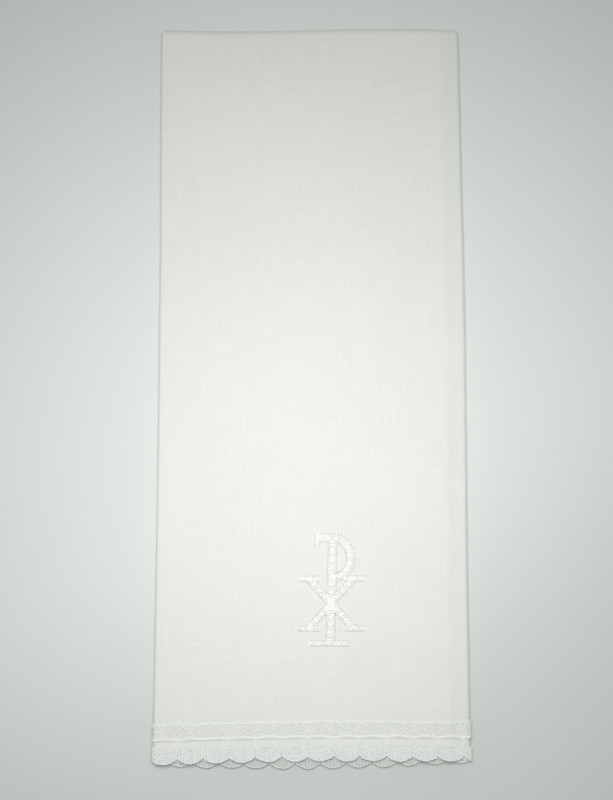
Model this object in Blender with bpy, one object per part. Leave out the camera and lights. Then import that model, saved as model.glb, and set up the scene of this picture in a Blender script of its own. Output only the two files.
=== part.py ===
"""An altar purificator: a white linen cloth folded in three and then in half, with lace along both short ends.

The cloth lies on its back. +Y points to the top fold, -Y to the two laced ends, +Z up. Metres.
One folded section is swept from the front hem over the top fold to the back hem, so the cloth is one sheet.
"""

import collections
import functools
import math

import bmesh
import bpy

# Sheet
CLOTH = 0.0010  # thickness of one layer, of cloth and of lace
LAYER_GAP = 0.0003  # air between two layers, and between the hem and the lace

# Folded cloth
FOLDED_WIDTH = 0.100  # over the two side folds
PANEL_LENGTH = 0.227  # front panel, from the top fold to the hem
TOP_FOLD_Y = 0.1214  # the outside of the top fold
TUCKED_SHORTFALL = 0.0055  # how far the tucked flap stops short of the right fold
BACK_SHORTFALL = 0.0030  # how far the back flap stops short of the left fold
RIDGE_DROP = 0.0005  # how far the front layer sinks beyond the tucked flap's edge
RIDGE_RUN = 0.0040  # the width of that slope
TOP_FOLD_SQUARENESS = 2.8  # exponent of the top fold's outline, 2 would be a half circle

# Lace
LACE_WIDTH = 0.0126  # from the hem to the tip of a scallop
HEADING = 0.0054  # the dense band along the hem
WINDOW_SIDE = 0.0012  # height of an opening beside its bars
WINDOW_MIDDLE = 0.0031  # height of an opening in its middle
SCALLOP_RISE = 0.0017  # from the notch between two scallops to their tips
SCALLOP_ROUNDNESS = 0.8  # exponent of a scallop's arch, lower is squarer
BAR_WIDTH = 0.0012  # between two openings
LACE_SPREAD = 1.014  # the lace is a little fuller than the cloth over the side folds

# Unevenness of the hand folding
LEFT_BOW = 0.00045  # the left fold is drawn in at mid-height
RIGHT_WAVE = 0.0003  # the right fold weaves to and fro
TOP_WAVE = 0.0004  # the top fold dips on the left and rises on the right
HEM_BOW = 0.0006  # the front hem is drawn up in its middle
HEM_TILT = 0.0007  # and lies this much lower at the left fold than at the right one
BACK_DROP = 0.0008  # the back hem lies lower than the front hem all along
BACK_BOW = 0.0019  # and lower again in its middle
RIGHT_WAVE_START = 0.2  # share of the length above the right fold's first crossing
LOFT_WAVE = 0.03  # share by which the stack's height rolls up and down
LOFT_TURNS_ALONG = 1.05  # rolls over the length, and where they start
LOFT_START_ALONG = 0.6
LOFT_TURNS_ACROSS = 0.85  # rolls over the width, and where they start
LOFT_START_ACROSS = -0.4

# Steps
FLAT_STEPS = 4  # columns along each hidden flap
FRONT_STEPS = 6  # columns along the front panel before the ridge
RIDGE_STEPS = 5  # columns down the ridge's slope
FOLD_STEPS = 8  # columns round a side fold
PANEL_ROWS = 11  # rows along each half of the length
TURN_ROWS = 10  # rows round the top fold
SCALLOP_SHARES = (0.3, 0.5, 0.7)  # columns between the bars of a scallop
NEAREST_COLUMNS = 0.0002  # columns closer together than this are left out
SMOOTH_ANGLE = math.radians(40)

# Worked out from the sizes above
HALF_CLOTH = CLOTH / 2
LAYER_PITCH = CLOTH + LAYER_GAP
FRONT_DEPTH = HALF_CLOTH  # middles of the three layers, below the display face
TUCKED_DEPTH = FRONT_DEPTH + LAYER_PITCH
BACK_DEPTH = TUCKED_DEPTH + LAYER_PITCH
TURN_RADIUS = BACK_DEPTH + HALF_CLOTH + LAYER_GAP / 2
STACK_HEIGHT = 2 * TURN_RADIUS
SUNK_DEPTH = FRONT_DEPTH + RIDGE_DROP
LEFT_RADIUS = (TUCKED_DEPTH - FRONT_DEPTH) / 2
RIGHT_RADIUS = (BACK_DEPTH - SUNK_DEPTH) / 2
LEFT_X = -FOLDED_WIDTH / 2 + LEFT_RADIUS + HALF_CLOTH  # axis of the left fold
RIGHT_X = FOLDED_WIDTH / 2 - RIGHT_RADIUS - HALF_CLOTH  # axis of the right fold
TUCKED_EDGE_X = FOLDED_WIDTH / 2 - TUCKED_SHORTFALL
BACK_EDGE_X = -FOLDED_WIDTH / 2 + BACK_SHORTFALL
RIDGE_X = TUCKED_EDGE_X - RIDGE_RUN / 2
HEM_Y = TOP_FOLD_Y - PANEL_LENGTH

# The section as one path, from the tucked flap's edge round both folds to the back flap's edge
TUCKED_END = TUCKED_EDGE_X - LEFT_X
LEFT_END = TUCKED_END + math.pi * LEFT_RADIUS
FRONT_END = LEFT_END + RIGHT_X - LEFT_X
RIGHT_END = FRONT_END + math.pi * RIGHT_RADIUS
SECTION_LENGTH = RIGHT_END + RIGHT_X - BACK_EDGE_X
LEFT_FOLD = (TUCKED_END + LEFT_END) / 2

# The two laces. The front one has a bar on the left fold, and the back one has a scallop near it
Lace = collections.namedtuple("Lace", "name pitch first_bar")
FRONT_LACE = Lace("lace_front", 0.0081, LEFT_FOLD)
BACK_LACE = Lace("lace_back", 0.0080, LEFT_FOLD + 0.0034)


def smooth(share):
    """0 before 0, 1 after 1, and an even slope between."""
    share = min(max(share, 0.0), 1.0)
    return share * share * (3 - 2 * share)


def front_layer(x):
    """(depth, slope) of the front layer's middle, which sinks beyond the tucked flap's edge."""
    share = min(max((x - RIDGE_X) / RIDGE_RUN, 0.0), 1.0)
    return FRONT_DEPTH + RIDGE_DROP * smooth(share), RIDGE_DROP / RIDGE_RUN * 6 * share * (1 - share)


def across(u, side):
    """(x, depth) of a point u along the section's middle line and side towards the cloth's right side."""
    if u <= TUCKED_END:
        return TUCKED_EDGE_X - u, TUCKED_DEPTH + side
    if u < LEFT_END:
        turn, radius = (u - TUCKED_END) / LEFT_RADIUS, LEFT_RADIUS + side
        return LEFT_X - radius * math.sin(turn), FRONT_DEPTH + LEFT_RADIUS + radius * math.cos(turn)
    if u <= FRONT_END:
        x = LEFT_X + u - LEFT_END
        depth, slope = front_layer(x)
        lean = math.hypot(1.0, slope)
        return x + side * slope / lean, depth - side / lean
    if u < RIGHT_END:
        turn, radius = (u - FRONT_END) / RIGHT_RADIUS, RIGHT_RADIUS + side
        return RIGHT_X + radius * math.sin(turn), SUNK_DEPTH + RIGHT_RADIUS - radius * math.cos(turn)
    return RIGHT_X - (u - RIGHT_END), BACK_DEPTH + side


def front_hem(x):
    """y of the front hem, drawn up a little in its middle and lower on the left."""
    share = x / FOLDED_WIDTH
    return HEM_Y + HEM_BOW * math.cos(math.pi * share) + HEM_TILT * share


def back_hem(x):
    """y of the back hem, which shows below the front one, most of all in its middle."""
    return front_hem(x) - BACK_DROP - BACK_BOW * math.cos(math.pi * x / FOLDED_WIDTH)


def turn_line(x):
    """y where the flat layers end and the top fold begins."""
    return TOP_FOLD_Y - TURN_RADIUS - TOP_WAVE * math.sin(2 * math.pi * (x / FOLDED_WIDTH + 0.5))


def along(station, x, depth):
    """(y, z) of a station of the length: 0 front hem, 1 to 2 round the top fold, 3 back hem."""
    if station <= 1:
        hem = front_hem(x)
        return hem + station * (turn_line(x) - hem), STACK_HEIGHT - depth
    if station >= 2:
        return turn_line(x) + (station - 2) * (back_hem(x) - turn_line(x)), depth
    turn, radius, power = (station - 1) * math.pi, TURN_RADIUS - depth, 2 / TOP_FOLD_SQUARENESS
    rise = math.copysign(abs(math.cos(turn)) ** power, math.cos(turn))
    return turn_line(x) + radius * math.sin(turn) ** power, TURN_RADIUS + radius * rise


def settled(x, y, z):
    """The point after the whole stack has settled: the side folds wander and its height rolls softly."""
    down = (TOP_FOLD_Y - y) / PANEL_LENGTH
    left = LEFT_BOW * math.sin(math.pi * min(max(down, 0.0), 1.0))
    right = RIGHT_WAVE * math.sin(2 * math.pi * (down - RIGHT_WAVE_START))
    share = x / FOLDED_WIDTH + 0.5
    roll = math.sin(2 * math.pi * LOFT_TURNS_ALONG * down + LOFT_START_ALONG)
    roll *= math.cos(2 * math.pi * LOFT_TURNS_ACROSS * share + LOFT_START_ACROSS)
    return x + left * (1 - share) + right * share, y, z * (1 + LOFT_WAVE * roll)


def steps(start, end, count):
    """count + 1 even values from start to end."""
    return [start + (end - start) * i / count for i in range(count)] + [end]


def fold_columns():
    """Columns round the two side folds."""
    return steps(TUCKED_END, LEFT_END, FOLD_STEPS) + steps(FRONT_END, RIGHT_END, FOLD_STEPS)


def cloth_columns():
    """Columns across the cloth, close together at its folds and its ridge."""
    ridge = LEFT_END + RIDGE_X - LEFT_X
    columns = steps(0.0, TUCKED_END, FLAT_STEPS) + steps(LEFT_END, ridge, FRONT_STEPS)
    columns += steps(ridge, ridge + RIDGE_RUN, RIDGE_STEPS) + steps(RIGHT_END, SECTION_LENGTH, FLAT_STEPS)
    return sorted(set(columns + fold_columns()))


def bar_share(lace):
    """Half a bar's width as a share of the pitch."""
    return BAR_WIDTH / 2 / lace.pitch


def phase_of(lace, u):
    """How far u is from one bar to the next, from 0 to 1."""
    return ((u - lace.first_bar) / lace.pitch) % 1.0


def bulge(lace, u):
    """0 at a bar and 1 midway between two."""
    return math.sin(math.pi * phase_of(lace, u)) ** SCALLOP_ROUNDNESS


def lace_columns(lace):
    """Columns across the lace: those of every scallop, and those of the folds."""
    columns = [0.0, SECTION_LENGTH] + fold_columns()
    shares = (0.0, bar_share(lace), *SCALLOP_SHARES, 1 - bar_share(lace))
    first = -math.ceil(lace.first_bar / lace.pitch)
    last = math.ceil((SECTION_LENGTH - lace.first_bar) / lace.pitch)
    for scallop in range(first, last):
        for share in shares:
            u = lace.first_bar + (scallop + share) * lace.pitch
            if 0 < u < SECTION_LENGTH and min(abs(u - other) for other in columns) > NEAREST_COLUMNS:
                columns.append(u)
    return sorted(columns)


def lace_rows(lace, u):
    """Distances below the hem of the heading's top, the openings' tops, their feet and the scalloped edge."""
    foot = HEADING + WINDOW_SIDE + (WINDOW_MIDDLE - WINDOW_SIDE) * bulge(lace, u)
    return 0.0, HEADING, foot, LACE_WIDTH - SCALLOP_RISE * (1 - bulge(lace, u))


def lace_open(lace, u, row):
    """True where the lace is open: in the row of windows, clear of the bars."""
    return row == 1 and bar_share(lace) < phase_of(lace, u) < 1 - bar_share(lace)


def cloth_point(u, row, side):
    """A point of the cloth: row is its station along the length."""
    x, depth = across(u, side)
    return settled(x, *along(row, x, depth))


def front_lace_point(u, row, side):
    """A point of the lace along the front hem: row is its place in lace_rows."""
    x, depth = across(u, side)
    x *= LACE_SPREAD
    return settled(x, front_hem(x) - LAYER_GAP - lace_rows(FRONT_LACE, u)[row], STACK_HEIGHT - depth)


def back_lace_point(u, row, side):
    """A point of the lace along the back hem, which lies under the front one."""
    x, depth = across(u, side)
    x *= LACE_SPREAD
    return settled(x, back_hem(x) - LAYER_GAP - lace_rows(BACK_LACE, u)[row], depth)


def sheet_solid(name, columns, rows, point, is_open, material):
    """One closed body: the sheet's right side, its wrong side, and a wall along every edge of it."""
    mesh = bmesh.new()
    corners = {}

    def corner(i, j, side):
        key = (i, j, side)
        if key not in corners:
            corners[key] = mesh.verts.new(point(columns[i], rows[j], side))
        return corners[key]

    cells = {
        (i, j)
        for i in range(len(columns) - 1)
        for j in range(len(rows) - 1)
        if not is_open((columns[i] + columns[i + 1]) / 2, rows[j])
    }
    for i, j in sorted(cells):
        ring = ((i, j), (i + 1, j), (i + 1, j + 1), (i, j + 1))
        for side in (HALF_CLOTH, -HALF_CLOTH):
            mesh.faces.new([corner(*place, side) for place in ring])
        beyond = ((i, j - 1), (i + 1, j), (i, j + 1), (i - 1, j))
        for start, end, neighbour in zip(ring, ring[1:] + ring[:1], beyond):
            if neighbour not in cells:
                wall = ((*start, HALF_CLOTH), (*end, HALF_CLOTH), (*end, -HALF_CLOTH), (*start, -HALF_CLOTH))
                mesh.faces.new([corner(*place) for place in wall])
    bmesh.ops.recalc_face_normals(mesh, faces=mesh.faces)
    data = bpy.data.meshes.new(name)
    mesh.to_mesh(data)
    mesh.free()
    data.materials.append(material)
    data.shade_smooth()
    data.set_sharp_from_angle(angle=SMOOTH_ANGLE)
    node = bpy.data.objects.new(name, data)
    bpy.context.scene.collection.objects.link(node)
    return node


def fabric(name, colour, roughness):
    """A plain matt fabric."""
    material = bpy.data.materials.new(name)
    material.use_nodes = True
    shader = material.node_tree.nodes["Principled BSDF"]
    shader.inputs["Base Color"].default_value = (*colour, 1.0)
    shader.inputs["Roughness"].default_value = roughness
    shader.inputs["Metallic"].default_value = 0.0
    return material


def build():
    """The cloth and its two laces, under one empty."""
    for old in list(bpy.data.objects):
        bpy.data.objects.remove(old)
    linen = fabric("white_linen", (0.86, 0.87, 0.84), 0.85)
    cotton = fabric("white_cotton_lace", (0.84, 0.86, 0.84), 0.9)
    stations = steps(0.0, 1.0, PANEL_ROWS) + steps(1.0, 2.0, TURN_ROWS)[1:] + steps(2.0, 3.0, PANEL_ROWS)[1:]
    pieces = [sheet_solid("cloth", cloth_columns(), stations, cloth_point, lambda u, row: False, linen)]
    for lace, point in ((FRONT_LACE, front_lace_point), (BACK_LACE, back_lace_point)):
        rows = range(len(lace_rows(lace, 0.0)))
        is_open = functools.partial(lace_open, lace)
        pieces.append(sheet_solid(lace.name, lace_columns(lace), rows, point, is_open, cotton))
    frame = bpy.data.objects.new("purificator", None)
    bpy.context.scene.collection.objects.link(frame)
    for piece in pieces:
        piece.parent = frame


build()
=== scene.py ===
"""The looks of a folded altar purificator: linen, two cotton laces, an embroidered sign and a stage.

Laid out as an add-on and run as a script. Metres. The cloth lies on its back, with +Y towards its top fold,
-Y towards its two laced ends and +Z up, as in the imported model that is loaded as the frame.
"""

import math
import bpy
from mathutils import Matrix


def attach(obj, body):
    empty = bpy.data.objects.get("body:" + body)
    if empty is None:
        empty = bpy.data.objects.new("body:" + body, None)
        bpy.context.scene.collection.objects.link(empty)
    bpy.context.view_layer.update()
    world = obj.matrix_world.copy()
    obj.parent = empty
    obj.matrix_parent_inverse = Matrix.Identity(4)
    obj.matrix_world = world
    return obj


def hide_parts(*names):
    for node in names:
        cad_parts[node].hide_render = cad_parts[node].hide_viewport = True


bl_info = {
    "name": "Folded Purificator",
    "version": (1, 0, 0),
    "blender": (4, 5, 0),
    "location": "3D View > Sidebar > Purificator",
    "description": "Builds a folded altar linen with lace and satin stitch around its packed model",
    "category": "Add Mesh",
}

import bpy
from mathutils import Vector, noise

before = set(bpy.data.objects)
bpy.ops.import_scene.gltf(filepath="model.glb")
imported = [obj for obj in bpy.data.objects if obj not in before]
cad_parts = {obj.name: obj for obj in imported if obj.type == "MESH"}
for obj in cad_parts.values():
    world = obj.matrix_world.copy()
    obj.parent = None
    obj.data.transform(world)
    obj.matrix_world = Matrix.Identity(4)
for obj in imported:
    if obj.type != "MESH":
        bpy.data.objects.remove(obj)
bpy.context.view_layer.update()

# Folded cloth, with the same sizes as the solids
LAYER = 0.0010  # the room that one layer takes in the stack
LAYER_GAP = 0.0003
FOLDED_WIDTH = 0.100
PANEL_LENGTH = 0.227
TOP_FOLD_Y = 0.1214
TUCKED_SHORTFALL = 0.0055
BACK_SHORTFALL = 0.0030
RIDGE_DROP = 0.0005
RIDGE_RUN = 0.0040
TOP_FOLD_SQUARENESS = 2.8
LEFT_BOW = 0.00045
RIGHT_WAVE = 0.0003
RIGHT_WAVE_START = 0.2
TOP_WAVE = 0.0004
HEM_BOW = 0.0006
HEM_TILT = 0.0007
BACK_DROP = 0.0008
BACK_BOW = 0.0019
LOFT_WAVE = 0.03
LOFT_TURNS_ALONG = 1.05
LOFT_START_ALONG = 0.6
LOFT_TURNS_ACROSS = 0.85
LOFT_START_ACROSS = -0.4

# Worked out from them, as in the part's source
HALF_LAYER = LAYER / 2
LAYER_PITCH = LAYER + LAYER_GAP
FRONT_DEPTH = HALF_LAYER
TUCKED_DEPTH = FRONT_DEPTH + LAYER_PITCH
BACK_DEPTH = TUCKED_DEPTH + LAYER_PITCH
TURN_RADIUS = BACK_DEPTH + HALF_LAYER + LAYER_GAP / 2
STACK_HEIGHT = 2 * TURN_RADIUS
SUNK_DEPTH = FRONT_DEPTH + RIDGE_DROP
LEFT_RADIUS = (TUCKED_DEPTH - FRONT_DEPTH) / 2
RIGHT_RADIUS = (BACK_DEPTH - SUNK_DEPTH) / 2
LEFT_X = -FOLDED_WIDTH / 2 + LEFT_RADIUS + HALF_LAYER
RIGHT_X = FOLDED_WIDTH / 2 - RIGHT_RADIUS - HALF_LAYER
TUCKED_EDGE_X = FOLDED_WIDTH / 2 - TUCKED_SHORTFALL
BACK_EDGE_X = -FOLDED_WIDTH / 2 + BACK_SHORTFALL
RIDGE_X = TUCKED_EDGE_X - RIDGE_RUN / 2
HEM_Y = TOP_FOLD_Y - PANEL_LENGTH
TUCKED_END = TUCKED_EDGE_X - LEFT_X
LEFT_END = TUCKED_END + math.pi * LEFT_RADIUS
FRONT_END = LEFT_END + RIGHT_X - LEFT_X
RIGHT_END = FRONT_END + math.pi * RIGHT_RADIUS
SECTION_LENGTH = RIGHT_END + RIGHT_X - BACK_EDGE_X
LEFT_FOLD = (TUCKED_END + LEFT_END) / 2

# Linen
HEM_UNDER_LACE = 0.0096  # how far each hem runs on under its lace
HEM_SINK = 0.00010  # how much lower the hem lies there, so that the lace has room
HEM_STEP = 0.0016  # the run of that slope
SIDE_HEM = 0.0062  # width of the hems along the two hidden long edges
RIPPLE = 0.00010  # height of the soft unevenness of each layer
RIPPLE_LENGTH = 0.034
TURN_LENGTH = 1.12 * math.pi * TURN_RADIUS  # the flat length that goes round the top fold
BODY_LENGTH = PANEL_LENGTH - TURN_RADIUS
WARM_PATCH_SCALE = 24.0  # patches of the hem's colour in each metre

# Lace, from its top edge down
LACE_WIDTH = 0.0126
LACE_SPREAD = 1.008
FRONT_PITCH = 0.0081
BACK_PITCH = 0.0080
FRONT_FIRST_BAR = LEFT_FOLD
BACK_FIRST_BAR = LEFT_FOLD + 0.0034
HEADING_LINE = 0.00034  # middle of the twisted cord along its top
NET_CELLS = 8  # diamonds of the net in one scallop's width
NET_ROWS = 3
NET_TOP = 0.0004
NET_FOOT = 0.0044
NET_RELIEF = 0.00004  # how far its threads pass over and under each other
BRAID_LINE = 0.0048  # middle of the braid under the net
BRAID_ARCH = 0.00020  # how much the braid rises over each window
BRAID_SHADE_EDGES = ((0.0001, 0.0004), (0.0007, 0.0010))  # on the hem, from the braid's middle down
BAR_CORDS = 0.00019  # each of a bar's two cords, from its middle
BAR_OVERLAP = 0.0003  # how far they run on into the fans
WINDOW_TOP = 0.0054
WINDOW_SIDE = 0.0012
WINDOW_MIDDLE = 0.0031
SCALLOP_RISE = 0.0017
SCALLOP_ROUNDNESS = 0.8
FAN_SPREAD = 0.97  # width of a fan at its window, over its width at the scallop's edge
SPOKES = 17
SPOKE_SWAY = 0.3  # how far a spoke leans to its neighbours in turn, over the way to the next one
ARCS = 6
FAN_RELIEF = 0.00007  # how far spokes and arcs pass over and under each other
RIM_INSET = 0.0002  # how far a window's rim lies inside its fan
EDGE_INSET = 0.0003  # how far the scallop's edge threads lie inside it
EDGE_SHARE = 0.7  # thickness of the rim's and the edge's threads, over the finest threads'
LACE_LIFT = 0.00021  # the lace's middle, above the middle of its layer
LACE_PRESS = 0.55  # how flat the threads are pressed
LACE_SEED = 7  # for the wandering of its threads, which is the same in each run
WANDER_LENGTH = 0.0055  # of the waves in which the threads wander
FULLNESS_LENGTH = 0.011  # of the waves in which whole scallops are fuller or narrower
FULLNESS_SWAY = 1.5
FULLNESS_STRETCH = 60  # change of the scallops' depth for each metre of unevenness
GRAIN_LENGTH = 0.0017  # of the waves in single threads
GRAIN_SWAY = 0.8
GRAIN_RISE = 0.2

# Sign, from the middle of its foot
SIGN_X = 0.0058
SIGN_Y = -0.0826
SIGN_HEIGHT = 0.0353
STEM_LEAN = 0.0008
CROSSING = 0.0136  # height at which the two arms cross
ARM_REACH = 0.0072
ARM_RISE = 0.0078
BOWL_REACH = 0.0058
BOWL_DROP = 0.0126
BOWL_LEFT = 0.0050  # how far the bowl's top stroke runs on to the left of the stem
HALF_STROKE = 0.0011  # how far the level strokes' middle lines lie inside the sign's height
SERIF_REACH = 0.0033
FOOT_LEFT = 0.0066
FOOT_RIGHT = 0.0062
FLAG_REACH = 0.0021
FLAG_DROP = 0.0006
ARM_SHARES = (0.70, 0.80)  # width of the two arms, over the stem's
BOWL_SHARE = 0.90
SERIF_SHARE = 0.50
ARM_RELIEF = 0.7  # height of the arms' stitches, over the stem's
BOWL_RELIEF = 0.9
SERIF_RELIEF = 0.6
STITCH_SLANT = 0.12
PAIR_SHIFT = 0.22  # how far a stitch's ends lean to its partner, over the pitch
PAIR_SHIFT_MIDDLE = 0.2  # and its middle, over its ends
WIDTH_VARIATION = (12.9, 0.05)  # (beat, amount) of the stitches' reach
THREAD_VARIATION = (7.3, 0.08)  # and of their thickness
HOLE_HEIGHT = 0.00002
HOLE_OFFSET = 0.00021  # from a stroke's edge to the middle of its needle holes

# Camera, which looks down with a slight tilt towards +Y
CAMERA_PLACE = (-0.00288, -0.05003, 0.40121)
CAMERA_TILT = math.radians(6.642)
CAMERA_PAN = math.radians(-0.172)
CAMERA_ROLL = math.radians(-0.131)
CAMERA_LENS = 55.35  # on a 36 mm sensor

# Light, close beside the camera
LIGHT_PLACE = Vector((-0.0065, -0.008, 0.42))
LIGHT_AIM = Vector((-0.0051, -0.0264, 0.0))
LIGHT_SIZE = 0.10
LIGHT_SPREAD = math.radians(79.1)

# Floor, with painted shade that makes it darker towards -Y
MOTTLE_SCALE = 14.0  # soft patches in each metre
SHADE_SLANT = -0.4  # how far the slope of its light leans to one side
SHADE_START = -0.136
SHADE_END = -0.026
SHADE_SHARE = 0.88


class LinenSettings(bpy.types.PropertyGroup):
    """Sizes and colours of the cloth."""

    thickness: bpy.props.FloatProperty(
        name="Thickness", description="Thickness of the cloth",
        default=0.0006, min=0.0001, unit="LENGTH",
    )
    hem_thickness: bpy.props.FloatProperty(
        name="Hem Thickness", description="Thickness of the two long hems",
        default=0.0009, min=0.0002, unit="LENGTH",
    )
    thread_pitch: bpy.props.FloatProperty(
        name="Thread Pitch", description="From one thread of the weave to the next",
        default=0.00048, unit="LENGTH",
    )
    colour: bpy.props.FloatVectorProperty(
        name="Linen", description="Colour of the linen",
        subtype="COLOR", default=(0.865, 0.893, 0.835), min=0, max=1,
    )
    hem_colour: bpy.props.FloatVectorProperty(
        name="Hem", description="Colour of the turned hem",
        subtype="COLOR", default=(0.88, 0.903, 0.832), min=0, max=1,
    )
    warmth: bpy.props.FloatProperty(
        name="Warmth", description="How much of the hem's colour shows in soft patches",
        default=0.55, min=0, max=1,
    )
    # Painted shade: how dark the strip past the ridge is painted, for the front layer's step down there.
    ridge_painted_shade: bpy.props.FloatProperty(
        name="Single Shade", description="How dark the strip is that lies over no flap",
        default=0.026, min=0, max=1,
    )
    braid_shade: bpy.props.FloatProperty(
        name="Braid Shade", description="How dark the hem is along the braid's foot",
        default=0.15, min=0, max=1,
    )


class LaceSettings(bpy.types.PropertyGroup):
    """Sizes and colours of the two laces."""

    cord: bpy.props.FloatProperty(
        name="Cord", description="Thickness of the braid and the bars",
        default=0.00042, min=0.0001, unit="LENGTH",
    )
    net: bpy.props.FloatProperty(
        name="Net", description="Thickness of the net's threads",
        default=0.00042, min=0.0001, unit="LENGTH",
    )
    spoke: bpy.props.FloatProperty(
        name="Spoke", description="Thickness of the fans' spokes",
        default=0.00054, min=0.0001, unit="LENGTH",
    )
    filling: bpy.props.FloatProperty(
        name="Filling", description="Thickness of the filling threads",
        default=0.00038, min=0.0001, unit="LENGTH",
    )
    fine: bpy.props.FloatProperty(
        name="Fine", description="Thickness of the finest threads",
        default=0.00022, min=0.0001, unit="LENGTH",
    )
    back_share: bpy.props.FloatProperty(
        name="Back Share", description="Thickness of the back lace's threads, over the front one's",
        default=0.78, min=0.1,
    )
    unevenness: bpy.props.FloatProperty(
        name="Unevenness", description="How far the threads wander",
        default=0.00019, min=0, unit="LENGTH",
    )
    colour: bpy.props.FloatVectorProperty(
        name="Cotton", description="Colour of the front lace",
        subtype="COLOR", default=(0.945, 0.977, 0.94), min=0, max=1,
    )
    # Painted shade: the back lace gets a darker copy of the cotton, for the shadow that the front lace
    # casts on it.
    back_shaded_colour: bpy.props.FloatVectorProperty(
        name="Back Cotton", description="Colour of the back lace, which is a little greyer",
        subtype="COLOR", default=(0.89, 0.92, 0.882), min=0, max=1,
    )


class EmbroiderySettings(bpy.types.PropertyGroup):
    """Sizes and colour of the embroidered sign."""

    stroke: bpy.props.FloatProperty(
        name="Stroke", description="Width of the sign's stem",
        default=0.0025, min=0.0005, unit="LENGTH",
    )
    stitch_pitch: bpy.props.FloatProperty(
        name="Stitch Pitch", description="From one stitch to the next",
        default=0.00042, min=0.0001, unit="LENGTH",
    )
    thread: bpy.props.FloatProperty(
        name="Thread", description="Thickness of the thread",
        default=0.00044, min=0.0001, unit="LENGTH",
    )
    relief: bpy.props.FloatProperty(
        name="Relief", description="Height of the stem's stitches",
        default=0.00032, min=0, unit="LENGTH",
    )
    hole: bpy.props.FloatProperty(
        name="Hole", description="Width of a needle hole",
        default=0.00030, min=0.0001, unit="LENGTH",
    )
    # Painted shade: colour of the dark posts that stand for the shade in the needle holes.
    hole_shade_colour: bpy.props.FloatVectorProperty(
        name="Hole Colour", description="Colour of the holes",
        subtype="COLOR", default=(0.07, 0.07, 0.055), min=0, max=1,
    )
    colour: bpy.props.FloatVectorProperty(
        name="Thread Colour", description="Colour of the thread",
        subtype="COLOR", default=(0.99, 1.0, 0.955), min=0, max=1,
    )


class StageSettings(bpy.types.PropertyGroup):
    """The floor and the light."""

    floor_colour: bpy.props.FloatVectorProperty(
        name="Floor", description="Colour of the floor",
        subtype="COLOR", default=(0.785, 0.82, 0.80), min=0, max=1,
    )
    key_power: bpy.props.FloatProperty(
        name="Key Light", description="Power of the light overhead, in watts",
        default=0.245, min=0,
    )
    sky: bpy.props.FloatProperty(
        name="Sky", description="Strength of the even light all round",
        default=0.30, min=0,
    )


def smooth(share):
    """0 before 0, 1 after 1, and an even slope between."""
    share = min(max(share, 0.0), 1.0)
    return share * share * (3 - 2 * share)


def front_layer(x):
    """(depth, slope) of the front layer's middle, which sinks beyond the tucked flap's edge."""
    share = min(max((x - RIDGE_X) / RIDGE_RUN, 0.0), 1.0)
    return FRONT_DEPTH + RIDGE_DROP * smooth(share), RIDGE_DROP / RIDGE_RUN * 6 * share * (1 - share)


def across(u, side):
    """(x, depth) of a point u along the folded section and side towards the cloth's right side."""
    if u <= TUCKED_END:
        return TUCKED_EDGE_X - u, TUCKED_DEPTH + side
    if u < LEFT_END:
        turn, radius = (u - TUCKED_END) / LEFT_RADIUS, LEFT_RADIUS + side
        return LEFT_X - radius * math.sin(turn), FRONT_DEPTH + LEFT_RADIUS + radius * math.cos(turn)
    if u <= FRONT_END:
        x = LEFT_X + u - LEFT_END
        depth, slope = front_layer(x)
        lean = math.hypot(1.0, slope)
        return x + side * slope / lean, depth - side / lean
    if u < RIGHT_END:
        turn, radius = (u - FRONT_END) / RIGHT_RADIUS, RIGHT_RADIUS + side
        return RIGHT_X + radius * math.sin(turn), SUNK_DEPTH + RIGHT_RADIUS - radius * math.cos(turn)
    return RIGHT_X - (u - RIGHT_END), BACK_DEPTH + side


def front_hem(x):
    """y of the line where the front lace begins, drawn up a little in its middle and lower on the left."""
    share = x / FOLDED_WIDTH
    return HEM_Y + HEM_BOW * math.cos(math.pi * share) + HEM_TILT * share


def back_hem(x):
    """y of the line where the back lace begins, lowest in its middle."""
    return front_hem(x) - BACK_DROP - BACK_BOW * math.cos(math.pi * x / FOLDED_WIDTH)


def turn_line(x):
    """y where the flat layers end and the top fold begins. It is further where layers sink."""
    wave = TOP_WAVE * math.sin(2 * math.pi * (x / FOLDED_WIDTH + 0.5))
    return TOP_FOLD_Y - TURN_RADIUS - wave + front_layer(x)[0] - FRONT_DEPTH


def along(station, x, depth):
    """(y, z) of a station of the length: 0 front hem, 1 to 2 round the top fold, 3 back hem."""
    if station <= 1:
        hem = front_hem(x)
        return hem + station * (turn_line(x) - hem), STACK_HEIGHT - depth
    if station >= 2:
        return turn_line(x) + (station - 2) * (back_hem(x) - turn_line(x)), depth
    turn, radius, power = (station - 1) * math.pi, TURN_RADIUS - depth, 2 / TOP_FOLD_SQUARENESS
    rise = math.copysign(abs(math.cos(turn)) ** power, math.cos(turn))
    return turn_line(x) + radius * math.sin(turn) ** power, TURN_RADIUS + radius * rise


def settled(x, y, z):
    """The point after the whole stack has settled: the side folds wander and its height rolls softly."""
    down = (TOP_FOLD_Y - y) / PANEL_LENGTH
    left = LEFT_BOW * math.sin(math.pi * min(max(down, 0.0), 1.0))
    right = RIGHT_WAVE * math.sin(2 * math.pi * (down - RIGHT_WAVE_START))
    share = x / FOLDED_WIDTH + 0.5
    roll = math.sin(2 * math.pi * LOFT_TURNS_ALONG * down + LOFT_START_ALONG)
    roll *= math.cos(2 * math.pi * LOFT_TURNS_ACROSS * share + LOFT_START_ACROSS)
    return x + left * (1 - share) + right * share, y, z * (1 + LOFT_WAVE * roll)


def beyond_hem(station):
    """How far a station lies beyond the line where its lace begins."""
    return max(-station, station - 3) * BODY_LENGTH


def flat_length(station):
    """Distance along the flat cloth from the line of the front lace."""
    return BODY_LENGTH * (min(station, 1) + max(station - 2, 0)) + TURN_LENGTH * min(max(station - 1, 0), 1)


def ripple(u, station):
    """The soft unevenness of the layers."""
    return RIPPLE * noise.noise(Vector((u, flat_length(station), 0)) / RIPPLE_LENGTH)


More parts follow.
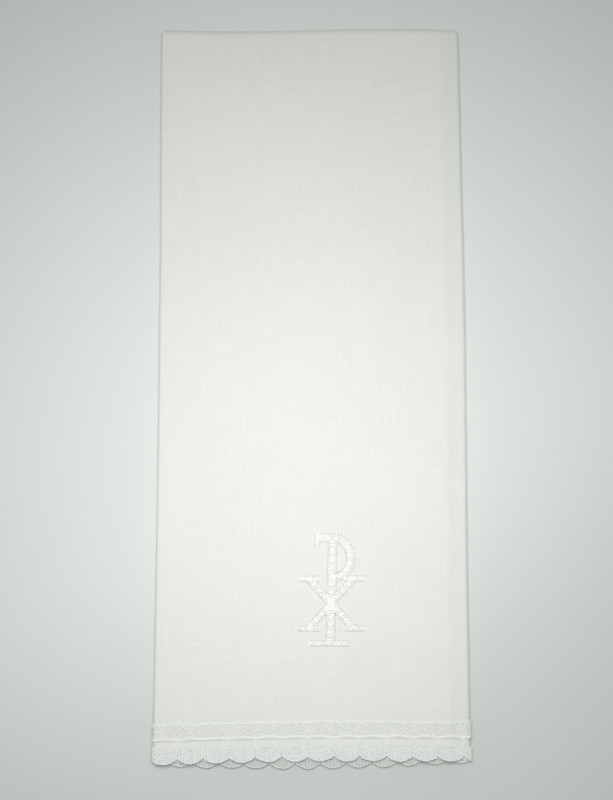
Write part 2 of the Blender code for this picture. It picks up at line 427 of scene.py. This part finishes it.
def cloth_point(u, station, side=0.0):
    """A point of the cloth: u and station on the flat cloth, and side from its middle to its right side."""
    sink = HEM_SINK * smooth(beyond_hem(station) / HEM_STEP + 1)
    x, depth = across(u, ripple(u, station) - sink + side)
    return settled(x, *along(station, x, depth))


def lace_point(u, down, side, behind):
    """A point of the front lace, or of the one behind: down from its line, side from its middle."""
    reach = (down + LAYER_GAP) / BODY_LENGTH
    station = 3 + reach if behind else -reach
    x, depth = across(u, ripple(u, station) + LACE_LIFT + side)
    x *= LACE_SPREAD
    return settled(x, *along(station, x, depth))


def steps(start, end, count):
    """count + 1 even values from start to end."""
    return [start + (end - start) * i / count for i in range(count)] + [end]


def cloth_columns():
    """Columns across the cloth, close together at its folds, its ridge and its hems."""
    ridge = LEFT_END + RIDGE_X - LEFT_X
    columns = steps(0.0, SIDE_HEM, 3) + steps(SIDE_HEM, TUCKED_END, 26) + steps(TUCKED_END, LEFT_END, 12)
    columns += steps(LEFT_END, ridge, 34) + steps(ridge, ridge + RIDGE_RUN, 6)
    columns += steps(ridge + RIDGE_RUN, FRONT_END, 2) + steps(FRONT_END, RIGHT_END, 12)
    columns += steps(RIGHT_END, SECTION_LENGTH - SIDE_HEM, 26)
    columns += steps(SECTION_LENGTH - SIDE_HEM, SECTION_LENGTH, 3)
    return sorted(set(columns))


def cloth_stations():
    """Rows along the cloth, from the front hem's edge under its lace to the back one's."""
    under, step = HEM_UNDER_LACE / BODY_LENGTH, HEM_STEP / BODY_LENGTH
    front = steps(-under, -step, 4) + steps(-step, step, 6) + steps(step, 1.0, 66)
    return sorted(set(front + steps(1.0, 2.0, 20) + [3 - station for station in front]))


def deselect_all():
    """Leaves nothing selected, because an operator acts on all that is."""
    bpy.ops.object.select_all(action="DESELECT")


def finish_modifier(kind, **values):
    """Adds a modifier to the active piece with these values and applies it."""
    bpy.ops.object.modifier_add(type=kind)
    modifier = bpy.context.object.modifiers[-1]
    for name, value in values.items():
        setattr(modifier, name, value)
    bpy.ops.object.modifier_apply(modifier=modifier.name)


def dress(piece, material, slot, *nodes):
    """Gives a finished piece its material and its place in the frame."""
    piece.data.materials.clear()
    piece.data.materials.append(material)
    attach(piece, "root")
    if nodes:
        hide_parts(*nodes)


def add_threads(name, threads, sides):
    """One mesh of closed threads. threads holds (points, thickness) pairs, and sides is 4 or 6."""
    curve = bpy.data.curves.new(name, "CURVE")
    curve.dimensions = "3D"
    curve.bevel_depth = 1.0  # the points' own radii are in metres
    curve.bevel_resolution = (sides - 4) // 2
    curve.use_fill_caps = True
    for points, thickness in threads:
        spline = curve.splines.new("POLY")
        spline.points.add(len(points) - 1)
        for point, place in zip(spline.points, points):
            point.co = (*place, 1.0)
            point.radius = thickness / 2
    piece = bpy.data.objects.new(name, curve)
    bpy.context.scene.collection.objects.link(piece)
    deselect_all()
    bpy.context.view_layer.objects.active = piece
    piece.select_set(True)
    bpy.ops.object.convert(target="MESH")
    return bpy.context.object


def join(pieces, name):
    """Joins pieces into the first one."""
    deselect_all()
    for piece in pieces:
        piece.select_set(True)
    bpy.context.view_layer.objects.active = pieces[0]
    bpy.ops.object.join()
    pieces[0].name = pieces[0].data.name = name
    return pieces[0]


def bulge(share):
    """0 at a bar and 1 midway between two."""
    return math.sin(math.pi * (share % 1.0)) ** SCALLOP_ROUNDNESS


def window_foot(share):
    """Where the fan begins, under the window."""
    return WINDOW_TOP + WINDOW_SIDE + (WINDOW_MIDDLE - WINDOW_SIDE) * bulge(share)


def scallop_edge(share):
    """Where the scallop ends."""
    return LACE_WIDTH - SCALLOP_RISE * (1 - bulge(share))


def along_repeat(pitch, count, line):
    """(t, v) places along one repeat, on a line that gives v for a share of the repeat."""
    return [(share * pitch, line(share)) for share in steps(0.0, 1.0, count)]


def plaited(places, strands, waves, width, depth):
    """Two strands that twist, or three that plait, along a line of places. waves counts how often."""
    doubled = strands - 1
    cords = []
    for strand in range(strands):
        cord = []
        for k, (t, v) in enumerate(places):
            turn = 2 * math.pi * (waves * k / (len(places) - 1) + strand / strands)
            cord.append((t, width * math.sin(turn) - v, depth * math.cos(doubled * turn)))
        cords.append(cord)
    return cords


def net(pitch):
    """The net of the heading: threads that slant both ways and pass over and under each other."""
    cell, row = pitch / NET_CELLS, (NET_FOOT - NET_TOP) / NET_ROWS
    threads = []
    for lean in (1, -1):
        for start in range(NET_CELLS):
            threads.append([
                (cell * (start + lean * k / 2), -(NET_TOP + row * k / 2), lean * (-1) ** k * NET_RELIEF)
                for k in range(2 * NET_ROWS + 1)
            ])
    return threads


def bar():
    """The two cords of the bar between two windows."""
    foot = WINDOW_TOP + WINDOW_SIDE + BAR_OVERLAP
    return [[(side * BAR_CORDS, -v, 0.0) for v in steps(BRAID_LINE, foot, 3)] for side in (1, -1)]


def sewing(pitch):
    """Small slanted stitches that hold the heading to the hem."""
    cell = pitch / NET_CELLS
    return [
        [(cell * (k + 0.30), 0.0003, -0.0002), (cell * (k + 0.42), 0.0001, 0.00022),
         (cell * (k + 0.62), -0.0005, 0.00022), (cell * (k + 0.74), -0.0007, -0.0002)]
        for k in range(NET_CELLS)
    ]


def fan_place(pitch, sideways, down):
    """(t, v) in a fan: sideways from 0 to 1 across it, down from 0 at the window to 1 at the edge."""
    inner = 0.5 + (sideways - 0.5) * FAN_SPREAD
    top, foot = window_foot(inner), scallop_edge(sideways) - EDGE_INSET
    return (inner + (sideways - inner) * down) * pitch, top + (foot - top) * down


def fan(pitch):
    """(spokes, arcs) of the close fan that fills a scallop, woven through each other."""
    downs = [0.0] + [(k + 0.5) / ARCS for k in range(ARCS)] + [1.0]
    sideways = [0.0] + [(i + 0.5) / SPOKES for i in range(SPOKES)] + [1.0]
    spokes, arcs = [], []
    sway = SPOKE_SWAY / SPOKES
    for i in range(1, SPOKES + 1):
        places = [
            fan_place(pitch, sideways[i] + sway * (-1) ** (i + k), down)
            for k, down in enumerate(downs)
        ]
        spokes.append([(t, -v, FAN_RELIEF * (-1) ** (i + k)) for k, (t, v) in enumerate(places)])
    for k in range(1, ARCS + 1):
        places = [fan_place(pitch, side, downs[k]) for side in sideways]
        arcs.append([(t, -v, -FAN_RELIEF * (-1) ** (i + k)) for i, (t, v) in enumerate(places)])
    return spokes, arcs


def add_lace_repeat(lace, pitch, thinning):
    """One scallop of the lace, flat, from its left bar, with its threads' thickness times thinning."""
    heading = along_repeat(pitch, 24, lambda share: HEADING_LINE)
    braid = along_repeat(pitch, 18, lambda share: BRAID_LINE + BRAID_ARCH * math.cos(2 * math.pi * share))
    rim = along_repeat(pitch, 18, lambda share: window_foot(share) + RIM_INSET)
    edge = along_repeat(pitch, 24, lambda share: scallop_edge(share) - EDGE_INSET)
    spokes, arcs = fan(pitch)
    round_threads = [
        (plaited(heading, 2, NET_CELLS, 0.00016, 0.00006), lace.fine),
        (plaited(braid, 3, 3, 0.00030, 0.00014), lace.cord),
        (plaited(rim, 2, 5, 0.00010, 0.00003), EDGE_SHARE * lace.fine),
        (plaited(edge, 2, 9, 0.00014, 0.00004), EDGE_SHARE * lace.fine),
        (bar(), lace.filling),
        (sewing(pitch), lace.fine),
    ]
    flat_threads = [(net(pitch), lace.net), (spokes, lace.spoke), (arcs, lace.filling)]
    pieces = []
    for name, bundles, sides in (("cords", round_threads, 6), ("filling", flat_threads, 4)):
        threads = [(points, thinning * thickness) for bundle, thickness in bundles for points in bundle]
        pieces.append(add_threads(name, threads, sides))
    return join(pieces, "lace_repeat")


def lay_lace(piece, start, unevenness, behind):
    """Bends a flat lace round the folded cloth, and lets its threads wander."""
    uv = piece.data.uv_layers.active or piece.data.uv_layers.new(name="UVMap")
    flat = [vertex.co.copy() for vertex in piece.data.vertices]
    for loop in piece.data.loops:
        uv.data[loop.index].uv = flat[loop.vertex_index].xy
    for vertex, place in zip(piece.data.vertices, flat):
        t = start + place.x
        wander = noise.noise_vector(Vector((t, place.y, 0)) / WANDER_LENGTH) * unevenness
        fullness = noise.noise_vector(Vector((t, start, 0)) / FULLNESS_LENGTH) * unevenness
        grain = noise.noise_vector(Vector((t, place.y, 1)) / GRAIN_LENGTH) * unevenness
        u = t + wander.x + FULLNESS_SWAY * fullness.x + GRAIN_SWAY * grain.x
        down = -place.y * (1 + FULLNESS_STRETCH * fullness.y) + wander.y + GRAIN_SWAY * grain.y
        vertex.co = lace_point(u, down, LACE_PRESS * place.z + GRAIN_RISE * grain.z, behind)


def add_socket(group, name, way, kind="NodeSocketFloat", value=None):
    """A socket of a node group, with its default."""
    socket = group.interface.new_socket(name, in_out=way, socket_type=kind)
    if value is not None:
        socket.default_value = value


def add_node(tree, kind, inputs=None, **values):
    """A node with these values. An input that is a socket is wired and any other is a default."""
    node = tree.nodes.new(kind)
    for name, value in values.items():
        setattr(node, name, value)
    for key, value in (inputs or {}).items():
        if isinstance(value, bpy.types.NodeSocket):
            tree.links.new(value, node.inputs[key])
        else:
            node.inputs[key].default_value = value
    return node


def calculate(tree, operation, *values):
    """The result of a Math node."""
    return add_node(tree, "ShaderNodeMath", dict(enumerate(values)), operation=operation).outputs[0]


def add_noise(tree, place, scale, detail):
    """A Noise Texture node. Its scale is in features per metre, or is a socket."""
    return add_node(tree, "ShaderNodeTexNoise", {"Vector": place, "Scale": scale, "Detail": detail})


def streaks(tree, place, across_scale, along_scale, detail):
    """Noise drawn out into streaks: its scales across and along them are in features per metre."""
    factors = {0: place, 1: (across_scale, along_scale, 1.0)}
    stretched = add_node(tree, "ShaderNodeVectorMath", factors, operation="MULTIPLY")
    return add_noise(tree, stretched.outputs[0], 1.0, detail).outputs["Fac"]


def weave_group():
    """Plain weave on a flat place in metres. Puts out the threads' height and tone, from 0 to 1."""
    group = bpy.data.node_groups.new("Plain weave", "ShaderNodeTree")
    add_socket(group, "Place", "INPUT", "NodeSocketVector")
    add_socket(group, "Pitch", "INPUT", value=0.00048)
    add_socket(group, "Height", "OUTPUT")
    add_socket(group, "Tone", "OUTPUT")
    inside = add_node(group, "NodeGroupInput")
    place = inside.outputs["Place"]
    drift = add_node(
        group, "ShaderNodeVectorMath",
        {0: add_noise(group, place, 90.0, 2.0).outputs["Color"], 1: (0.0012, 0.0012, 0.0)},
        operation="MULTIPLY",
    )
    drawn = add_node(group, "ShaderNodeVectorMath", {0: place, 1: drift.outputs[0]}, operation="ADD")
    parts = add_node(group, "ShaderNodeSeparateXYZ", {0: drawn.outputs[0]})
    turns = calculate(group, "DIVIDE", math.pi, inside.outputs["Pitch"])
    warp = calculate(group, "SINE", calculate(group, "MULTIPLY", parts.outputs["X"], turns))
    weft = calculate(group, "SINE", calculate(group, "MULTIPLY", parts.outputs["Y"], turns))
    sign = calculate(group, "MULTIPLY", warp, weft)
    over = calculate(group, "MULTIPLY_ADD", sign, 0.5, 0.5)
    under = calculate(group, "SUBTRACT", 1.0, over)
    warp_height = calculate(group, "MULTIPLY", calculate(group, "ABSOLUTE", warp), over)
    weft_height = calculate(group, "MULTIPLY", calculate(group, "ABSOLUTE", weft), under)
    weave = calculate(group, "MAXIMUM", warp_height, weft_height)
    warp_slubs = streaks(group, place, 1500.0, 90.0, 3.0)
    weft_slubs = streaks(group, place, 90.0, 1500.0, 3.0)
    tone = calculate(group, "MULTIPLY", calculate(group, "ADD", warp_slubs, weft_slubs), 0.5)
    outside = add_node(group, "NodeGroupOutput")
    group.links.new(weave, outside.inputs["Height"])
    group.links.new(tone, outside.inputs["Tone"])
    return group


def fibre_group():
    """Spun cotton at a place in metres. Puts out its fibres' height and tone, from 0 to 1. Built once."""
    if "Spun fibres" in bpy.data.node_groups:
        return bpy.data.node_groups["Spun fibres"]
    group = bpy.data.node_groups.new("Spun fibres", "ShaderNodeTree")
    add_socket(group, "Place", "INPUT", "NodeSocketVector")
    add_socket(group, "Fineness", "INPUT", value=9000.0)
    add_socket(group, "Patches", "INPUT", value=1100.0)
    add_socket(group, "Height", "OUTPUT")
    add_socket(group, "Tone", "OUTPUT")
    inside = add_node(group, "NodeGroupInput")
    place = inside.outputs["Place"]
    fuzz = add_noise(group, place, inside.outputs["Fineness"], 3.0)
    patches = add_noise(group, place, inside.outputs["Patches"], 3.0)
    twist = add_node(
        group, "ShaderNodeTexWave",
        {"Vector": place, "Scale": 1400.0, "Distortion": 3.0, "Detail": 1.0},
        bands_direction="DIAGONAL",
    )
    rough = calculate(group, "MULTIPLY", fuzz.outputs["Fac"], 0.5)
    height = calculate(group, "MULTIPLY_ADD", twist.outputs["Fac"], 0.5, rough)
    outside = add_node(group, "NodeGroupOutput")
    group.links.new(height, outside.inputs["Height"])
    group.links.new(patches.outputs["Fac"], outside.inputs["Tone"])
    return group


def new_material(name):
    """(material, node tree, its Principled shader)."""
    material = bpy.data.materials.new(name)
    material.use_nodes = True
    return material, material.node_tree, material.node_tree.nodes["Principled BSDF"]


def blended(tree, first, second, share):
    """The first colour, and the second one where the share is 1."""
    mix = add_node(tree, "ShaderNodeMix", {"Factor": share, "A": first, "B": second}, data_type="RGBA")
    return mix.outputs["Result"]


def shade_of(tree, colour, darkest, tone):
    """The colour, and a darker shade of it where the tone is low."""
    return blended(tree, (*[part * darkest for part in colour], 1.0), (*colour, 1.0), tone)


def times(tree, colour, share):
    """The colour, made darker to its share."""
    scaled = add_node(tree, "ShaderNodeVectorMath", {0: colour, "Scale": share}, operation="SCALE")
    return scaled.outputs[0]


def spread(tree, value, low, high, bottom=0.0, top=1.0):
    """The value as a smooth step from bottom at low to top at high."""
    node = add_node(
        tree, "ShaderNodeMapRange",
        {"Value": value, "From Min": low, "From Max": high, "To Min": bottom, "To Max": top},
        interpolation_type="SMOOTHSTEP",
    )
    return node.outputs["Result"]


def raise_surface(tree, shader, height, strength, distance):
    """Gives the shader a bumpy surface from a height between 0 and 1."""
    inputs = {"Strength": strength, "Distance": distance, "Height": height}
    bump = add_node(tree, "ShaderNodeBump", inputs)
    tree.links.new(bump.outputs[0], shader.inputs["Normal"])


def band(tree, value, rise, fall):
    """1 between two soft edges and 0 outside. rise and fall hold where each edge starts and ends."""
    return calculate(tree, "MULTIPLY", spread(tree, value, *rise), spread(tree, value, *fall, 1.0, 0.0))


def linen_material(linen):
    """White linen: weave, slubs, patches, creamier hems; painted shade between threads, past the ridge,
    below the braid.
    """
    material, tree, shader = new_material("white_linen")
    flat = add_node(tree, "ShaderNodeUVMap", uv_map="Flat").outputs["UV"]
    woven = add_node(tree, "ShaderNodeGroup", node_tree=weave_group())
    tree.links.new(flat, woven.inputs["Place"])
    woven.inputs["Pitch"].default_value = linen.thread_pitch
    tone = spread(tree, woven.outputs["Tone"], 0.34, 0.66)
    base = shade_of(tree, linen.colour, 0.955, tone)
    hem = shade_of(tree, linen.hem_colour, 0.97, tone)
    parts = add_node(tree, "ShaderNodeSeparateXYZ", {0: flat})
    from_front = calculate(tree, "SUBTRACT", 0.0, parts.outputs["Y"])
    from_back = calculate(tree, "SUBTRACT", parts.outputs["Y"], flat_length(3))
    beyond = calculate(tree, "MAXIMUM", from_front, from_back)
    patches = add_noise(tree, flat, WARM_PATCH_SCALE, 2.0).outputs["Fac"]
    warmed = blended(tree, base, hem, spread(tree, patches, 0.42, 0.64, 0.0, linen.warmth))
    hemmed = blended(tree, warmed, hem, spread(tree, beyond, 0.0, 0.0012))
    ridge, braid = LEFT_END + RIDGE_X - LEFT_X, BRAID_LINE + LAYER_GAP
    # Painted shade: the linen is darker where the weave lies low, between its threads.
    weave_gap_shade = spread(tree, woven.outputs["Height"], 0.0, 0.8, 0.94, 1.0)
    # Painted shade on the strip from the ridge round the right fold.
    ridge_shade_strip = band(tree, parts.outputs["X"], (ridge, ridge + RIDGE_RUN), (RIGHT_END, RIGHT_END + 0.002))
    rise, fall = [[braid + place for place in edge] for edge in BRAID_SHADE_EDGES]
    under_braid = band(tree, beyond, rise, fall)
    shade = calculate(tree, "SUBTRACT", weave_gap_shade, calculate(tree, "MULTIPLY", ridge_shade_strip, linen.ridge_painted_shade))
    shade = calculate(tree, "SUBTRACT", shade, calculate(tree, "MULTIPLY", under_braid, linen.braid_shade))
    tree.links.new(times(tree, hemmed, shade), shader.inputs["Base Color"])
    raised = calculate(tree, "MULTIPLY_ADD", woven.outputs["Tone"], 0.6, woven.outputs["Height"])
    raise_surface(tree, shader, raised, 0.5, 0.00010)
    shader.inputs["Roughness"].default_value = 0.85
    shader.inputs["Specular IOR Level"].default_value = 0.25
    shader.inputs["Sheen Weight"].default_value = 0.30
    shader.inputs["Sheen Roughness"].default_value = 0.6
    return material


def spun_fibres(tree, fineness, patches):
    """The node of the fibres on a piece. fineness and patches are in features per metre."""
    place = add_node(tree, "ShaderNodeTexCoord").outputs["Object"]
    spun = add_node(tree, "ShaderNodeGroup", node_tree=fibre_group())
    tree.links.new(place, spun.inputs["Place"])
    spun.inputs["Fineness"].default_value = fineness
    spun.inputs["Patches"].default_value = patches
    return spun


def lace_material(name, colour):
    """White cotton thread."""
    material, tree, shader = new_material(name)
    spun = spun_fibres(tree, 9000.0, 1100.0)
    tone = spread(tree, spun.outputs["Tone"], 0.3, 0.6)
    tree.links.new(shade_of(tree, colour, 0.93, tone), shader.inputs["Base Color"])
    raise_surface(tree, shader, spun.outputs["Height"], 0.5, 0.00006)
    shader.inputs["Roughness"].default_value = 0.8
    shader.inputs["Specular IOR Level"].default_value = 0.3
    shader.inputs["Sheen Weight"].default_value = 0.35
    shader.inputs["Sheen Roughness"].default_value = 0.6
    return material


def satin_material(embroidery):
    """White embroidery thread with a soft shine."""
    material, tree, shader = new_material("white_satin_thread")
    spun = spun_fibres(tree, 6000.0, 2300.0)
    tone = spread(tree, spun.outputs["Tone"], 0.32, 0.52)
    tree.links.new(shade_of(tree, embroidery.colour, 0.80, tone), shader.inputs["Base Color"])
    raise_surface(tree, shader, spun.outputs["Height"], 0.25, 0.00004)
    shader.inputs["Roughness"].default_value = 0.5
    shader.inputs["Specular IOR Level"].default_value = 0.45
    shader.inputs["Sheen Weight"].default_value = 0.15
    return material


def hole_material(embroidery):
    """Linen in the shade of a needle hole."""
    material, tree, shader = new_material("shaded_linen")
    place = add_node(tree, "ShaderNodeTexCoord").outputs["Object"]
    spots = add_noise(tree, place, 2400.0, 1.0).outputs["Fac"]
    tree.links.new(shade_of(tree, embroidery.hole_shade_colour, 0.85, spots), shader.inputs["Base Color"])
    shader.inputs["Roughness"].default_value = 0.9
    shader.inputs["Specular IOR Level"].default_value = 0.1
    return material


def floor_material(colour):
    """A pale matt table top, with painted shade that darkens it towards -Y."""
    material, tree, shader = new_material("pale_floor")
    place = add_node(tree, "ShaderNodeTexCoord").outputs["Object"]
    mottle = add_noise(tree, place, MOTTLE_SCALE, 4.0).outputs["Fac"]
    parts = add_node(tree, "ShaderNodeSeparateXYZ", {0: place})
    # Painted shade: the floor is darker towards -Y, and a little to one side.
    slanted = calculate(tree, "MULTIPLY_ADD", parts.outputs["X"], SHADE_SLANT, parts.outputs["Y"])
    light = spread(tree, slanted, SHADE_START, SHADE_END, SHADE_SHARE, 1.0)
    tree.links.new(times(tree, shade_of(tree, colour, 0.985, mottle), light), shader.inputs["Base Color"])
    shader.inputs["Roughness"].default_value = 0.8
    shader.inputs["Specular IOR Level"].default_value = 0.2
    return material


class PURIFICATOR_OT_add_cloth(bpy.types.Operator):
    """Add the folded linen cloth"""

    bl_idname = "purificator.add_cloth"
    bl_label = "Add Cloth"

    def execute(self, context):
        linen = context.scene.purificator_linen
        columns, stations = cloth_columns(), cloth_stations()
        deselect_all()
        bpy.ops.mesh.primitive_grid_add(
            x_subdivisions=len(columns) - 1, y_subdivisions=len(stations) - 1, size=1.0
        )
        cloth = context.object
        cloth.name = cloth.data.name = "linen_cloth"
        hem = cloth.vertex_groups.new(name="hem")
        flat = []
        for vertex in cloth.data.vertices:
            column = round((vertex.co.x + 0.5) * (len(columns) - 1))
            row = round((vertex.co.y + 0.5) * (len(stations) - 1))
            u, station = columns[column], stations[row]
            flat.append((u, flat_length(station)))
            vertex.co = cloth_point(u, station)
            into_hem = 1.0 if min(u, SECTION_LENGTH - u) < SIDE_HEM - 1e-6 else 0.0
            hem.add([vertex.index], into_hem, "REPLACE")
        uv = cloth.data.uv_layers.active
        uv.name = "Flat"
        for loop in cloth.data.loops:
            uv.data[loop.index].uv = flat[loop.vertex_index]
        finish_modifier(
            "SOLIDIFY", thickness=linen.hem_thickness, offset=0.0, vertex_group="hem",
            thickness_vertex_group=linen.thickness / linen.hem_thickness,
        )
        bpy.ops.object.shade_smooth()
        dress(cloth, linen_material(linen), "linen", "cloth")
        return {"FINISHED"}


class PURIFICATOR_OT_add_laces(bpy.types.Operator):
    """Add the lace along the front hem and the lace along the back hem"""

    bl_idname = "purificator.add_laces"
    bl_label = "Add Laces"

    def execute(self, context):
        lace = context.scene.purificator_lace
        front_cotton = lace_material("white_cotton", lace.colour)
        # The back lace's darker cotton is painted shade.
        shaded_back_cotton = lace_material("painted_shade_cotton", lace.back_shaded_colour)
        noise.seed_set(LACE_SEED)
        for name, node, pitch, first_bar, behind, thinning, cotton in (
            ("front_lace", "lace_front", FRONT_PITCH, FRONT_FIRST_BAR, False, 1.0, front_cotton),
            ("back_lace", "lace_back", BACK_PITCH, BACK_FIRST_BAR, True, lace.back_share, shaded_back_cotton),
        ):
            before = int(first_bar / pitch)
            scallops = before + int((SECTION_LENGTH - first_bar) / pitch)
            piece = add_lace_repeat(lace, pitch, thinning)
            finish_modifier(
                "ARRAY", count=scallops, use_relative_offset=False, use_constant_offset=True,
                constant_offset_displace=(pitch, 0.0, 0.0),
            )
            lay_lace(piece, first_bar - before * pitch, lace.unevenness, behind)
            bpy.ops.object.shade_smooth()
            piece.name = piece.data.name = name
            dress(piece, cotton, "lace", node)
        return {"FINISHED"}


def on_front(x, y, height):
    """A point above the right side of the front panel."""
    u = LEFT_END + x - LEFT_X
    hem = front_hem(x)
    station = (y - hem) / (turn_line(x) - hem)
    half = bpy.context.scene.purificator_linen.thickness / 2
    return cloth_point(u, station, half + height)


def on_sign(place, height):
    """A point above the cloth, for a flat place measured from the middle of the sign's foot."""
    return on_front(SIGN_X + place.x, SIGN_Y + place.y, height)


def stitch(centre, across, to_partner, height):
    """One satin stitch: it comes up at one edge of its stroke, crosses it and goes down at the other."""
    rises = ((-1.0, -0.35), (-0.9, 0.35), (-0.5, 0.9), (0.0, 1.0), (0.5, 0.9), (0.9, 0.35), (1.0, -0.35))
    places = []
    for share, rise in rises:
        lean = PAIR_SHIFT_MIDDLE + (1 - PAIR_SHIFT_MIDDLE) * share ** 6
        places.append(on_sign(centre + across * share + to_partner * lean, height * rise))
    return places


def needle_hole(place):
    """A short dark post at the small round hole that two stitches share, painting the shade in it."""
    return [on_sign(place, height) for height in (-HOLE_HEIGHT, HOLE_HEIGHT)]


def uneven(n, beat, amount):
    """1, a little more or less from one stitch to the next."""
    return 1 + amount * math.sin(beat * n)


def satin(path, width, height, pitch):
    """(stitches, holes) side by side along a path of flat points. Each hole is shared by two stitches."""
    stitches, holes, carried, n = [], [], 0.0, 0
    for start, end in zip(path, path[1:]):
        run = (end - start).length
        heading = (end - start) / run
        side = Vector((-heading.y, heading.x))
        while carried < run:
            centre = start + heading * carried
            across = (side + heading * STITCH_SLANT) * width / 2 * uneven(n, *WIDTH_VARIATION)
            to_partner = heading * pitch * (PAIR_SHIFT if n % 2 else -PAIR_SHIFT)
            stitches.append(stitch(centre, across, to_partner, height))
            if n % 2:
                between = centre + heading * pitch / 2
                outside = side * (width / 2 + HOLE_OFFSET)
                holes += [needle_hole(between + outside), needle_hole(between - outside)]
            carried += pitch
            n += 1
        carried -= run
    return stitches, holes


def sign_strokes(stroke):
    """(path, width, height share) of each stroke: two arms with serifs, then the stem, foot and bowl."""
    foot, top = Vector((0.0, HALF_STROKE)), Vector((STEM_LEAN, SIGN_HEIGHT - 2 * HALF_STROKE))
    serif = stroke * SERIF_SHARE
    middle = Vector((STEM_LEAN * CROSSING / SIGN_HEIGHT, CROSSING))
    strokes = []
    for way, share in zip((1, -1), ARM_SHARES):
        low = middle - Vector((way * ARM_REACH, ARM_RISE))
        high = middle + Vector((way * ARM_REACH, ARM_RISE))
        strokes.append(([low, high], stroke * share, ARM_RELIEF))
        for end in (low, high):
            reach = Vector((SERIF_REACH, 0.0))
            strokes.append(([end - reach, end + reach], serif, SERIF_RELIEF))
    foot_ends = [foot - Vector((FOOT_LEFT, 0.0)), foot + Vector((FOOT_RIGHT, 0.0))]
    strokes.append((foot_ends, serif, SERIF_RELIEF))
    strokes.append(([foot, top], stroke, 1.0))
    centre = top - Vector((0.0, BOWL_DROP / 2 - HALF_STROKE))
    bowl = [top + Vector((-BOWL_LEFT, HALF_STROKE))]
    for turn in steps(0.0, math.pi, 24):
        bowl.append(centre + Vector((BOWL_REACH * math.sin(turn), BOWL_DROP / 2 * math.cos(turn))))
    strokes.append((bowl, stroke * BOWL_SHARE, BOWL_RELIEF))
    flag, reach = bowl[0] - Vector((0.0, FLAG_DROP)), Vector((0.0, FLAG_REACH))
    strokes.append(([flag + reach, flag - reach], serif, SERIF_RELIEF))
    return strokes


class PURIFICATOR_OT_add_embroidery(bpy.types.Operator):
    """Add the sign in satin stitch on the front panel"""

    bl_idname = "purificator.add_embroidery"
    bl_label = "Add Embroidery"

    def execute(self, context):
        embroidery = context.scene.purificator_embroidery
        threads, marks = [], []
        for path, width, share in sign_strokes(embroidery.stroke):
            stitches, holes = satin(path, width, embroidery.relief * share, embroidery.stitch_pitch)
            for n, points in enumerate(stitches):
                threads.append((points, embroidery.thread * uneven(n, *THREAD_VARIATION)))
            marks += [(points, embroidery.hole) for points in holes]
        piece = add_threads("satin_sign", threads, 6)
        bpy.ops.object.shade_smooth()
        dress(piece, satin_material(embroidery), "embroidery")
        # Dark posts with painted shade in the needle holes.
        piece = add_threads("painted_hole_shades", marks, 6)
        dress(piece, hole_material(embroidery), "linen")
        return {"FINISHED"}


class PURIFICATOR_OT_add_stage(bpy.types.Operator):
    """Add the floor, the light and the camera"""

    bl_idname = "purificator.add_stage"
    bl_label = "Add Stage"

    def execute(self, context):
        stage = context.scene.purificator_stage
        deselect_all()
        bpy.ops.mesh.primitive_plane_add(size=6.0)
        floor = context.object
        floor.name = floor.data.name = "floor"
        floor.data.materials.append(floor_material(stage.floor_colour))
        aim = (LIGHT_AIM - LIGHT_PLACE).to_track_quat("-Z", "Y").to_euler()
        bpy.ops.object.light_add(type="AREA", location=LIGHT_PLACE, rotation=aim)
        key = context.object
        key.name = "key_light"
        key.data.shape = "DISK"
        key.data.size = LIGHT_SIZE
        key.data.spread = LIGHT_SPREAD
        key.data.energy = stage.key_power
        world = bpy.data.worlds.new("sky")
        world.use_nodes = True
        background = world.node_tree.nodes["Background"]
        background.inputs["Color"].default_value = (0.99, 1.0, 0.99, 1.0)
        background.inputs["Strength"].default_value = stage.sky
        context.scene.world = world
        context.scene.view_settings.view_transform = "Standard"
        bpy.ops.object.camera_add(location=CAMERA_PLACE, rotation=(CAMERA_TILT, CAMERA_PAN, CAMERA_ROLL))
        camera = context.object
        camera.data.lens = CAMERA_LENS
        camera.data.clip_start = 0.01
        context.scene.camera = camera
        return {"FINISHED"}


class PURIFICATOR_PT_build(bpy.types.Panel):
    """Lists the pieces of the purificator"""

    bl_idname = "PURIFICATOR_PT_build"
    bl_label = "Purificator"
    bl_space_type = "VIEW_3D"
    bl_region_type = "UI"
    bl_category = "Purificator"

    def draw(self, context):
        for settings, operator in (
            (context.scene.purificator_linen, "purificator.add_cloth"),
            (context.scene.purificator_lace, "purificator.add_laces"),
            (context.scene.purificator_embroidery, "purificator.add_embroidery"),
            (context.scene.purificator_stage, "purificator.add_stage"),
        ):
            box = self.layout.box()
            for name in settings.__annotations__:
                box.prop(settings, name)
            box.operator(operator)


SETTINGS = {
    "purificator_linen": LinenSettings,
    "purificator_lace": LaceSettings,
    "purificator_embroidery": EmbroiderySettings,
    "purificator_stage": StageSettings,
}
CLASSES = (
    *SETTINGS.values(),
    PURIFICATOR_OT_add_cloth,
    PURIFICATOR_OT_add_laces,
    PURIFICATOR_OT_add_embroidery,
    PURIFICATOR_OT_add_stage,
    PURIFICATOR_PT_build,
)


def register():
    """Registers the settings, the operators and the panel."""
    for cls in CLASSES:
        bpy.utils.register_class(cls)
    for name, cls in SETTINGS.items():
        setattr(bpy.types.Scene, name, bpy.props.PointerProperty(type=cls))


def unregister():
    """Removes them again."""
    for name in SETTINGS:
        delattr(bpy.types.Scene, name)
    for cls in reversed(CLASSES):
        bpy.utils.unregister_class(cls)


def main():
    register()
    bpy.ops.purificator.add_cloth()
    bpy.ops.purificator.add_laces()
    bpy.ops.purificator.add_embroidery()
    bpy.ops.purificator.add_stage()


if __name__ == "__main__":
    main()
